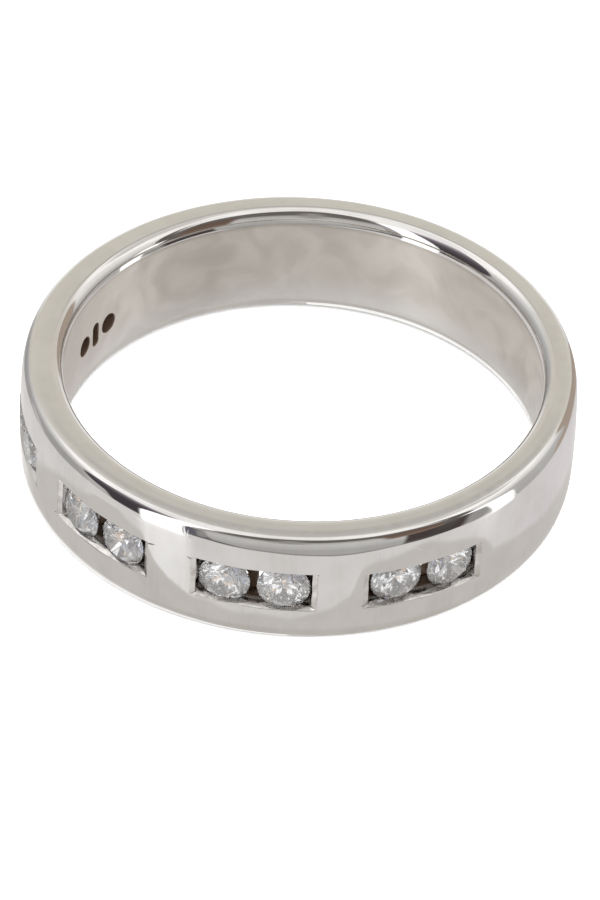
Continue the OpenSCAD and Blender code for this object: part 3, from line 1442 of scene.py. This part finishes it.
@dataclass(frozen=True)
class GoldFinish:
    """One finish of the white gold: its tones, its gloss and the marks in it.

    Heights of marks are in thousandths of a millimetre, and the rest is in millimetres. A finish may have
    painted light towards the lower mouth of the bore, where the pale floor would light it, painted shade
    just under the upper mouth, and a dark brown painted shade far down in a channel.
    """

    name: str
    bright: Colour
    dull: Colour
    roughness: float
    roughness_spread: float
    lay: Lay
    mark_height: float
    wear_height: float
    patch_mm: float
    patch_share: float
    grain: float = 0.0
    wear_spacing: float = 2.4
    swirl: float = 0.0
    grain_shade: float = 0.88
    low_marks: float = 0.35
    # Painted light: a lighter tone towards the lower mouth of the bore, where the pale floor would light it.
    painted_floor_light: Colour | None = None
    foot_z: tuple[float, float] = (2.0, 0.0)
    # Painted shade: a darker brown tone just under the upper mouth of the bore.
    painted_throat_shade: Colour | None = None
    throat_z: tuple[float, float] = (3.66, 3.94)
    # Painted shade: a dark brown tone far down in a channel, where the metal is also duller and rougher.
    painted_deep_shade: Colour | None = None
    deep_r: tuple[float, float] = (9.64, 9.32)
    deep_roughness: float = 0.5
    deep_metal: float = 0.45

    def build(self) -> bpy.types.Material:
        """Builds the finish from its tones and marks.

        Returns:
            The material.
        """
        material, sheet, metal = new_material(self.name)
        metal["Metallic"].default_value = 1.0
        marks = PolishMarks().place(sheet, Lay=self.lay.value)
        patches = SoftPatches().place(
            sheet, Size=self.patch_mm, Seed=float(len(self.name)), Swirl=self.swirl)
        wear = WearMarks().place(sheet, Spacing=self.wear_spacing)
        share = sheet.times(patches.outputs["Mask"], self.patch_share)
        tone = sheet.blend(share, self.bright, self.dull)
        uneven = sheet.times(marks.outputs["Mask"], patches.outputs["Mask"])
        grain = sheet.times(uneven, self.grain)
        tone = sheet.blend(grain, tone, tuple(self.grain_shade * part for part in self.dull))
        rough = sheet.spread(uneven, 0.0, 1.0, self.roughness, self.roughness + self.roughness_spread)
        # Painted light towards the lower mouth of the bore, and painted shade just under its upper mouth.
        for end, (start, full) in ((self.painted_floor_light, self.foot_z), (self.painted_throat_shade, self.throat_z)):
            if end:
                height = sheet.split(sheet.object_place())[2]
                tone = sheet.blend(sheet.spread(height, start * MM, full * MM), tone, end)
        # Painted shade: far down in a channel the tone darkens to dark brown, and the metal turns duller and
        # rougher.
        if self.painted_deep_shade:
            depth_shade = DepthShade().place(
                sheet, Shallow=self.deep_r[0], Deep=self.deep_r[1], Shift=CourtProfile.head_shift)
            shade = depth_shade.outputs["Mask"]
            tone = sheet.blend(shade, tone, self.painted_deep_shade)
            sheet.join(sheet.spread(shade, 0.0, 1.0, 1.0, self.deep_metal), metal["Metallic"])
            rough = sheet.sum("MAXIMUM", rough, sheet.times(shade, self.deep_roughness))
        sheet.join(tone, metal["Base Color"])
        sheet.join(rough, metal["Roughness"])
        least = self.low_marks * self.mark_height
        depth = sheet.spread(patches.outputs["Mask"], 0.0, 1.0, least, self.mark_height)
        cut = sheet.times(marks.outputs["Height"], depth)
        worn = sheet.times(wear.outputs["Height"], self.wear_height)
        bump = sheet.add("ShaderNodeBump")
        bump.inputs["Strength"].default_value = 1.0
        bump.inputs["Distance"].default_value = MM * MM
        sheet.join(sheet.plus(cut, worn), bump.inputs["Height"])
        sheet.join(bump.outputs[0], metal["Normal"])
        return material


@dataclass(frozen=True)
class DiamondFinish:
    """Clear polished diamond with a faint film on its facets."""

    name: str = "diamond"
    tint: Colour = (0.90, 0.895, 0.89)
    cloud: Colour = (0.83, 0.82, 0.81)
    clear: float = 0.87
    ior: float = 2.417
    film: float = 0.10
    film_mm: float = 0.5
    film_seed: float = 4.0

    def build(self) -> bpy.types.Material:
        """Builds the finish.

        Returns:
            The material.
        """
        material, sheet, stone = new_material(self.name)
        stone["Transmission Weight"].default_value = self.clear
        stone["IOR"].default_value = self.ior
        film = SoftPatches().place(sheet, Size=self.film_mm, Seed=self.film_seed)
        sheet.join(sheet.blend(film.outputs["Mask"], self.tint, self.cloud), stone["Base Color"])
        sheet.join(sheet.spread(film.outputs["Mask"], 0.0, 1.0, 0.0, self.film), stone["Roughness"])
        return material


class GoldSet:
    """The four finishes of the band, in the order of its surfaces."""

    def build(self) -> list[bpy.types.Material]:
        """Makes the materials.

        Returns:
            The materials of the outer face, the side faces, the bore and the channels.
        """
        face = GoldFinish(
            "polished_white_gold", bright=(0.805, 0.795, 0.783), dull=(0.745, 0.73, 0.715),
            roughness=0.035, roughness_spread=0.05, lay=Lay.ACROSS_THE_BAND, mark_height=0.55,
            wear_height=0.5, patch_mm=1.3, patch_share=0.8, grain=0.2)
        side = GoldFinish(
            "side_white_gold", bright=(0.79, 0.782, 0.76), dull=(0.74, 0.728, 0.70),
            roughness=0.13, roughness_spread=0.08, lay=Lay.NO_LAY, mark_height=0.35,
            wear_height=0.6, patch_mm=1.3, patch_share=0.8)
        # The bore's tones are darker and warmer than the face's: partly its rougher buffed finish, partly a
        # painted shade for the shaded floor inside the ring that it reflects.
        bore = GoldFinish(
            "bore_white_gold", bright=(0.81, 0.775, 0.722), dull=(0.735, 0.695, 0.645),
            roughness=0.40, roughness_spread=0.12, lay=Lay.BROAD_BUFFING, mark_height=14.0,
            wear_height=0.8, patch_mm=2.6, patch_share=0.9, swirl=2.5, painted_floor_light=(0.90, 0.89, 0.87),
            painted_throat_shade=(0.60, 0.555, 0.505))
        # The channel finish darkens to a dark brown painted shade far down in the channels.
        channel = GoldFinish(
            "channel_white_gold", bright=(0.80, 0.785, 0.765), dull=(0.66, 0.63, 0.60),
            roughness=0.12, roughness_spread=0.20, lay=Lay.NO_LAY, mark_height=1.0,
            wear_height=1.0, patch_mm=0.35, patch_share=1.0, painted_deep_shade=(0.10, 0.063, 0.040))
        return [face.build(), side.build(), bore.build(), channel.build()]


class ViewAngles(EffectGroup):
    """Turns a direction into an azimuth and an elevation, in degrees."""

    name = "view_angles"
    inputs = {"Direction": None, "Turn": 0.0}
    outputs = ("Azimuth", "Elevation")

    def fill(self, sheet: NodeSheet, entry: Node, leave: Node) -> None:
        """Splits the direction and takes its two angles.

        Args:
            sheet: the group's tree.
            entry: the node that brings in the group's inputs.
            leave: the node that takes out its outputs.
        """
        unit = sheet.add("ShaderNodeVectorMath", operation="NORMALIZE")
        sheet.join(entry.outputs["Direction"], unit.inputs[0])
        parts = sheet.split(unit.outputs[0])
        round_turn = sheet.sum("DEGREES", sheet.sum("ARCTAN2", parts[1], parts[0]))
        sheet.join(sheet.minus(round_turn, entry.outputs["Turn"]), leave.inputs["Azimuth"])
        sheet.join(sheet.sum("DEGREES", sheet.sum("ARCSINE", parts[2])), leave.inputs["Elevation"])


class SoftCard(EffectGroup):
    """The mask of one card of the studio: a soft edged rectangle in azimuth and elevation."""

    name = "soft_card"
    inputs = dict.fromkeys(
        ("Azimuth", "Elevation", "Middle", "Half Width", "Low", "High", "Soft", "Fade", "Lean"), 0.0)
    half_turn = 180.0

    def fill(self, sheet: NodeSheet, entry: Node, leave: Node) -> None:
        """Measures how far a direction lies inside the card.

        Args:
            sheet: the group's tree.
            entry: the node that brings in the group's inputs.
            leave: the node that takes out its outputs.
        """
        get = entry.outputs
        leaning = sheet.times(get["Elevation"], get["Lean"])
        middle = sheet.plus(get["Middle"], leaning)
        away = sheet.minus(get["Azimuth"], middle)
        off = sheet.sum("WRAP", away, self.half_turn, -self.half_turn)
        inside = sheet.minus(get["Half Width"], sheet.sum("ABSOLUTE", off))
        above = sheet.minus(get["Elevation"], get["Low"])
        below = sheet.minus(get["High"], get["Elevation"])
        tall = sheet.sum("MINIMUM", above, below)
        across = sheet.spread(inside, sheet.times(get["Soft"], -1.0), get["Soft"])
        upright = sheet.spread(tall, sheet.times(get["Fade"], -1.0), get["Fade"])
        sheet.join(sheet.times(across, upright), leave.inputs["Mask"])


@dataclass(frozen=True)
class Card:
    """One card, wall or lamp of the studio, seen from the ring.

    Azimuths are in degrees from the viewer's right hand, and the viewer stands at -90. The levels
    say how bright the card is at some elevations, as shares of its colour.
    """

    what: str
    middle: float
    half_width: float
    low: float
    high: float
    soft: float
    colour: Colour
    lean: float = 0.0
    fade: float | None = None
    levels: tuple[tuple[float, float], ...] = ()


@dataclass(frozen=True)
class Skyline:
    """Something round the ring whose upper edge rises and falls with the azimuth.

    It may be lifted above its edge, and held to a stretch round one azimuth, given with the
    stretch's reach to either side.
    """

    what: str
    soft: float
    colour: Colour
    edge: tuple[tuple[float, float], ...]
    lift: float = 0.0
    near: tuple[float, float] | None = None
    near_full: float = 0.6
    near_end: float = 1.7


@dataclass(frozen=True)
class Spark:
    """A share of the spots that show through the stones, picked by one of three random draws."""

    draw: int
    low: float
    high: float
    colour: Colour


FAR_EDGE = ((-270, -29), (-230, -27), (-215, -26), (-192, -23.4), (-174, -20.5), (-158, -21.2),
            (-122, -22.6), (-109, -25.8), (-90, -29), (-73, -32), (-66, -31), (-54, -28.3), (-45, -26.3),
            (-33, -26.8), (-24, -27.4), (-14, -29.6), (27, -31), (90, -30))


@dataclass
class Studio:
    """The surroundings of the ring: the floor, the cards and lamps round it, and the camera.

    The camera's place is in millimetres and degrees, and the floor is in metres.
    """

    centre: tuple[float, float, float] = (0.0, 0.0, 2.2)
    heading: float = 43.8
    elevation: float = 39.3
    roll: float = 2.853
    distance: float = 250.0
    lens: float = 282.39
    sensor_width: float = 36.0
    clip: tuple[float, float] = (0.01, 10.0)
    aim_right: float = -0.053
    aim_up: float = -1.455
    azimuths: tuple[float, float] = (90.0, -270.0)
    behind_all: Colour = (0.5, 0.5, 0.5)
    backdrop: Colour = (1.0, 1.0, 1.0)
    soft_light: float = 3.2
    fire_scale: float = 2.3
    pale_share: float = 0.75
    pale: Colour = (0.44, 0.432, 0.425)
    sparks: tuple[Spark, ...] = (
        Spark(0, 0.34, 0.26, (0.20, 0.185, 0.175)), Spark(1, 0.88, 0.92, (1.15, 0.86, 0.60)),
        Spark(2, 0.88, 0.92, (0.55, 0.68, 1.0)), Spark(0, 0.76, 0.84, (1.75, 1.78, 1.84)))
    floor_r: float = 0.5
    floor_z: float = -1e-5
    floor_steps: int = 64
    cloud_mm: float = 60.0
    cloud_seed: float = 1.0
    paper_roughness: float = 0.9
    paper: tuple[Colour, Colour] = ((0.93, 0.93, 0.93), (0.91, 0.91, 0.91))
    surroundings: list[Card | Skyline] = field(default_factory=lambda: [
        Card("wall and ceiling", 0, 180, -90, 91, 4.0, (1.0, 0.985, 0.965), levels=(
            (-30, 0.50), (-16, 0.55), (-4, 0.53), (7, 0.57), (18, 0.70), (28, 0.88), (38, 0.94), (43, 1.02),
            (46, 1.16), (51, 1.26), (57, 1.15), (66, 1.05), (75, 1.12), (85, 0.98), (90, 0.92))),
        Card("left wall", -219, 43, -40, 91, 4.0, (1.0, 0.988, 0.975), levels=(
            (-19, 0.425), (-7, 0.41), (5, 0.42), (17, 0.475), (25, 0.56), (32, 0.67), (38, 0.77), (43, 0.83),
            (46, 1.0), (50, 1.2), (54, 1.28), (60, 1.1), (68, 1.0), (78, 1.1), (90, 0.92))),
        Card("dim ceiling on the right", 52, 26, 51, 68, 4.0, (0.74, 0.72, 0.70), fade=3.0),
        Card("lamp on the left wall", -209, 3.5, -26, -2, 3.0, (0.68, 0.665, 0.66), fade=8.0),
        Card("pale floor behind", 90, 28, -60, 20, 6.0, (0.95, 0.94, 0.92)),
        Card("back wall", 90, 30, 18, 44, 6.0, (0.725, 0.69, 0.62)),
        Card("ceiling behind", 88.5, 10, 40.8, 76, 4.0, (1.0, 0.965, 0.93), fade=1.4, levels=(
            (41, 0.50), (47, 0.54), (51, 0.60), (55, 0.71), (61, 0.90), (72, 1.1))),
        Skyline("dark pelmet", 4.0, (0.165, 0.15, 0.14), (
            (-270, -60), (-131, -60), (-129, 60), (-120, 71), (-106, 77), (-90, 78), (-70, 76), (-50, 70.5),
            (-30, 62.5), (-24, 60), (-20, -60), (90, -60))),
        Card("front wall", -81, 42, -40, 38, 1.5, (1.0, 0.985, 0.965), fade=5.0, levels=(
            (-19, 0.47), (-14, 0.56), (-10, 0.61), (0, 0.65), (14, 0.59), (26, 0.54), (34, 0.43),
            (42, 0.30))),
        Card("seam of the front wall", -90.5, 5, 12, 60, 6.0, (0.35, 0.335, 0.325)),
        Card("frame of the left window", -126, 2.6, 6, 66, 1.2, (0.44, 0.43, 0.425)),
        Card("brown curtain", -43, 12, -9, 46, 2.5, (0.20, 0.14, 0.11), fade=2.0, levels=(
            (-10, 1.3), (0, 1.25), (20, 0.85), (40, 0.8))),
        Card("dark curtain", -33, 14, -34, -8, 1.2, (0.072, 0.058, 0.056), fade=1.6),
        Card("edge of the dark curtain", -15.5, 5.5, -34, -13, 2.4, (0.36, 0.35, 0.34), fade=2.0),
        Card("side of the curtain", -26.8, 4.8, -28, 59, 1.8, (0.14, 0.125, 0.12), 0.22, fade=3.0, levels=(
            (-20, 0.55), (-8, 0.75), (7, 1.0), (36, 1.0), (48, 1.6), (58, 3.2))),
        Skyline("brown screen", 1.6, (0.455, 0.382, 0.318), (
            (-270, -60), (31.6, -60), (33.2, 16), (38.5, 30), (48, 37), (55, 39), (59, 32),
            (64, -60), (90, -60))),
        Card("dark door", -149, 21.5, -34, 59, 1.6, (0.060, 0.054, 0.060), -0.38, fade=3.0, levels=(
            (-20, 1.0), (15, 1.1), (30, 1.6), (38, 2.2), (44, 3.0), (51, 5.6), (57, 10.0))),
        Card("navy edge", -128, 2.5, -34, -4, 0.7, (0.145, 0.14, 0.17)),
        Card("post beside it", -123.8, 2.2, -34, -4, 0.9, (0.34, 0.33, 0.33)),
        Skyline("skirting", 0.9, (0.33, 0.32, 0.315), FAR_EDGE, lift=3.2, near=(-93, 38)),
        Skyline("dark end of the skirting", 0.9, (0.15, 0.145, 0.15), FAR_EDGE, lift=3.2, near=(-121, 8)),
        Skyline("floor in the light", 0.7, (0.775, 0.757, 0.745), FAR_EDGE),
        Card("floor on the right", 62, 48, -60, -31, 6.0, (0.755, 0.722, 0.725), fade=2.0),
        Card("floor before the left window", -142.5, 10.6, -54, -30, 3.6, (1.0, 0.99, 0.985), levels=(
            (-46, 0.92), (-40, 0.95), (-36, 1.02), (-33, 1.16))),
        Card("left window", -139, 9, -29.6, 53, 0.9, (1.6, 1.6, 1.6), 0.08, fade=1.5),
        Card("floor before the right window", -5, 5, -46, -30, 6.0, (1.0, 0.985, 0.975), fade=4.0, levels=(
            (-40, 0.80), (-37, 0.86), (-35, 0.98), (-33, 1.15))),
        Card("right window", -13.5, 6.2, -33, 12, 1.0, (1.6, 1.6, 1.6), -0.47, fade=2.0),
        # Painted shadow: the ring's own shadow on the floor, in lobes, as the metal reflects it.
        Skyline("darker floor", 0.35, (0.64, 0.615, 0.588), (
            (-270, -41), (-226, -39.4), (-203, -37.7), (-182, -36.4), (-170, -34.5), (-162, -35.8),
            (-152.6, -36.7), (-148.8, -39.5), (-142, -42.1), (-132, -43.9), (-111, -45.3), (-90, -45.5),
            (-71.4, -43.9), (-64, -41.7), (-61, -37.4), (-57, -36.6), (-35, -35.1), (-20, -36.5), (-5, -38.3),
            (3, -40.6), (27, -40.8), (52, -40.3), (90, -39.5))),
        # Painted shade: the floor close under the ring, darkened where the ring shades it, as the metal
        # reflects it.
        Card("darker floor near the ring", 0, 180, -91, -57, 4.0, (0.575, 0.55, 0.515), fade=6.0),
        Skyline("white floor", 5.0, (1.18, 1.18, 1.17), (
            (-270, -41), (-245, -42), (-232, -46), (-215, -51), (-180, -61), (-150, -69), (-120, -77),
            (-90, -84), (60, -90), (90, -90))),
    ])

    def build_world(self) -> None:
        """Paints the surroundings that the metal and the stones reflect."""
        world = bpy.data.worlds.new("jeweller_studio")
        bpy.context.scene.world = world
        world.use_nodes = True
        world.node_tree.nodes.clear()
        sheet = NodeSheet(world.node_tree)
        direction = sheet.add("ShaderNodeTexCoord").outputs["Generated"]
        angles = ViewAngles().place(sheet, Direction=direction, Turn=self.heading)
        azimuth = sheet.sum("WRAP", angles.outputs["Azimuth"], *self.azimuths)
        walls = self.hang(sheet, azimuth, angles.outputs["Elevation"])
        path = sheet.add("ShaderNodeLightPath")
        walls = sheet.blend(path.outputs["Is Transmission Ray"], walls, self.fire(sheet, direction, walls))
        soft_light = sheet.blend(path.outputs["Is Diffuse Ray"], walls, (self.soft_light,) * 3)
        seen = sheet.blend(path.outputs["Is Camera Ray"], soft_light, self.backdrop)
        light = sheet.add("ShaderNodeBackground")
        sheet.join(seen, light.inputs["Color"])
        leave = sheet.add("ShaderNodeOutputWorld")
        sheet.join(light.outputs[0], leave.inputs["Surface"])

    def hang(self, sheet: NodeSheet, azimuth: object, elevation: object) -> Socket:
        """Lays the surroundings one over the other.

        Args:
            sheet: the world's tree.
            azimuth: the azimuth of the direction, in degrees.
            elevation: its elevation, in degrees.

        Returns:
            The colour seen in the direction.
        """
        seen: object = self.behind_all
        for thing in self.surroundings:
            if isinstance(thing, Card):
                share = self.card_mask(sheet, thing, azimuth, elevation)
            else:
                share = self.skyline_mask(sheet, thing, azimuth, elevation)
            colour: object = thing.colour
            if isinstance(thing, Card) and thing.levels:
                colour = sheet.scaled(thing.colour, sheet.curve(elevation, thing.levels))
            seen = sheet.blend(share, seen, colour)
        return seen

    def card_mask(self, sheet: NodeSheet, card: Card, azimuth: object, elevation: object) -> Socket:
        """Finds how far a card fills what is seen in a direction.

        Args:
            sheet: the world's tree.
            card: the card.
            azimuth: the azimuth of the direction, in degrees.
            elevation: its elevation, in degrees.

        Returns:
            The card's share.
        """
        mask = SoftCard().place(
            sheet, Azimuth=azimuth, Elevation=elevation, Middle=card.middle, Half_Width=card.half_width,
            Low=card.low, High=card.high, Soft=card.soft, Fade=card.fade or card.soft, Lean=card.lean)
        mask.label = card.what
        return mask.outputs["Mask"]

    def skyline_mask(self, sheet: NodeSheet, sky: Skyline, azimuth: object, elevation: object) -> Socket:
        """Finds how far a skyline fills what is seen in a direction.

        Args:
            sheet: the world's tree.
            sky: the skyline.
            azimuth: the azimuth of the direction, in degrees.
            elevation: its elevation, in degrees.

        Returns:
            The skyline's share.
        """
        below = sheet.minus(sheet.plus(sheet.curve(azimuth, sky.edge), sky.lift), elevation)
        share = sheet.spread(below, -sky.soft, sky.soft)
        if not sky.near:
            return share
        middle, reach = sky.near
        off = sheet.sum("ABSOLUTE", sheet.minus(azimuth, middle))
        return sheet.times(share, sheet.spread(off, reach * sky.near_end, reach * sky.near_full))

    def fire(self, sheet: NodeSheet, direction: object, walls: object) -> Socket:
        """Breaks the surroundings that show through the stones into soft bright and dark spots.

        Args:
            sheet: the world's tree.
            direction: the direction that is looked in.
            walls: the colour of the surroundings there.

        Returns:
            The colour seen through a stone.
        """
        cells = sheet.add("ShaderNodeTexVoronoi")
        sheet.join(direction, cells.inputs["Vector"])
        sheet.join(self.fire_scale, cells.inputs["Scale"])
        parts = sheet.add("ShaderNodeSeparateColor")
        sheet.join(cells.outputs["Color"], parts.inputs[0])
        seen = sheet.blend(self.pale_share, walls, self.pale)
        for spark in self.sparks:
            share = sheet.spread(parts.outputs[spark.draw], spark.low, spark.high)
            seen = sheet.blend(share, seen, spark.colour)
        return seen

    def build_floor(self) -> bpy.types.Object:
        """Lays the plain pale floor, just under the ring.

        Returns:
            The floor.
        """
        mesh = bpy.data.meshes.new("paper_floor")
        spots = [(self.floor_r * math.cos(turn), self.floor_r * math.sin(turn), self.floor_z)
                 for turn in circle(self.floor_steps)]
        mesh.from_pydata(spots, [], [tuple(range(self.floor_steps))])
        paper, sheet, face = new_material("pale_paper")
        cloud = SoftPatches().place(sheet, Size=self.cloud_mm, Seed=self.cloud_seed)
        sheet.join(sheet.blend(cloud.outputs["Mask"], *self.paper), face["Base Color"])
        face["Roughness"].default_value = self.paper_roughness
        face["Specular IOR Level"].default_value = 0.0
        mesh.materials.append(paper)
        floor = add_object("paper_floor", mesh)
        floor.visible_glossy = False
        floor.visible_transmission = False
        return floor

    def build_camera(self) -> bpy.types.Object:
        """Sets the camera at the photograph's viewing angle.

        Returns:
            The camera.
        """
        turn = math.radians(self.heading)
        rise = math.radians(self.elevation)
        back = Vector((math.sin(turn) * math.cos(rise), -math.cos(turn) * math.cos(rise), math.sin(rise)))
        right = Vector((math.cos(turn), math.sin(turn), 0))
        up = back.cross(right)
        tilt = math.radians(self.roll)
        level = math.cos(tilt) * right + math.sin(tilt) * up
        top = math.cos(tilt) * up - math.sin(tilt) * right
        centre = Vector(self.centre)
        place = centre + back * self.distance
        aim = centre + level * self.aim_right + top * self.aim_up
        away = (place - aim).normalized()
        across = top.cross(away).normalized()
        above = away.cross(across)
        lens = bpy.data.cameras.new("camera")
        lens.lens = self.lens
        lens.sensor_width = self.sensor_width
        lens.clip_start, lens.clip_end = self.clip
        camera = add_object("camera", lens)
        place = place * MM
        camera.matrix_world = Matrix((
            (across.x, above.x, away.x, place.x), (across.y, above.y, away.y, place.y),
            (across.z, above.z, away.z, place.z), (0, 0, 0, 1)))
        bpy.context.scene.camera = camera
        return camera

    def build(self) -> None:
        """Builds the whole studio."""
        self.build_world()
        self.build_floor()
        self.build_camera()
        bpy.context.scene.view_settings.view_transform = "Standard"


def report(step: str, work: Callable[[], object]) -> object:
    """Runs one step of the build and logs that it is done.

    Args:
        step: what the step makes.
        work: the call that makes it.

    Returns:
        What the step made.
    """
    made = work()
    log.info("%s: done", step)
    return made


def main() -> None:
    """Builds the ring's looks in order."""
    logging.basicConfig(level=logging.INFO, format="%(name)s: %(message)s")
    profile = CourtProfile()
    setting = Setting()
    stone = Brilliant()
    gold = report("white gold finishes", GoldSet().build)
    diamond = report("diamond finish", DiamondFinish().build)
    band = report("band", Band(profile, setting, stone, HandPolish(), gold).build)
    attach(band, "root")
    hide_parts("band")
    for place, brilliant in enumerate(StoneRow(profile, setting, stone, diamond).build(), start=1):
        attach(brilliant, "root")
        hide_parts(f"stone_{place:02d}")
    log.info("brilliants: done")
    report("studio", Studio().build)
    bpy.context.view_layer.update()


if __name__ == "__main__":
    main()
